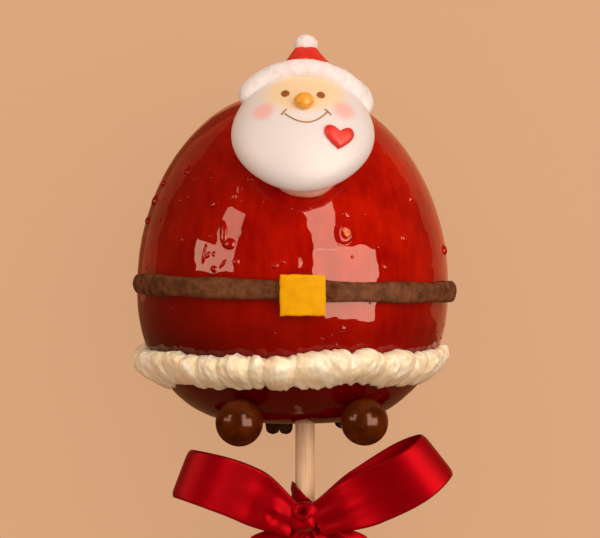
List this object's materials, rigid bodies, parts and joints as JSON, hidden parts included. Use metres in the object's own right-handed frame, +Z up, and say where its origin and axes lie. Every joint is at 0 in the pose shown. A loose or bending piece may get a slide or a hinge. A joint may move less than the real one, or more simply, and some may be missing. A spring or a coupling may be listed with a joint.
{
  "type": "toffee apple",
  "caption": "Toffee apple dressed as Father Christmas with a sugar-paste head, chocolate belt and cream trim, on a wooden stick tied with a satin bow; it lies on its back.",
  "frame": {"origin": "centre of the small flat that the apple rests on, at the height where the apple is widest", "axes": "+Y along the stick from the ribbon towards the apple's crown, +Z up out of the decorated front, +X to the right as seen from above with the crown away"},
  "size_m": [0.0827, 0.2026, 0.0852],
  "materials": {
    "toffee": "clear glossy red toffee over apple skin",
    "wood": "plain birch",
    "calyx": "dry dark calyx",
    "chocolate": "satin chocolate",
    "ball": "polished chocolate",
    "yellow": "satin yellow sweet",
    "cream": "soft piped cream",
    "white": "smooth sugar paste",
    "fur": "rough sugar fur",
    "red": "smooth red sugar",
    "nose": "smooth orange sugar",
    "icing": "set icing stained by toffee",
    "satin": "red satin ribbon"
  },
  "bodies": {
    "root": {"apple": "toffee", "stick": "wood", "calyx_left": "calyx", "calyx_right": "calyx", "belt_left": "chocolate", "belt_right": "chocolate", "buckle": "yellow", "cream_trim": "cream", "foot_ball_left": "ball", "foot_ball_right": "ball", "head": "white", "hat_brim": "fur", "hat": "red", "pompom": "fur", "nose": "nose", "heart": "red", "icing_dab": "icing", "bow_knot": "satin", "ribbon_wrap": "satin", "bow_loop_left": "satin", "bow_loop_right": "satin", "ribbon_tail_left": "satin", "ribbon_tail_right": "satin"}
  },
  "joints": []
}
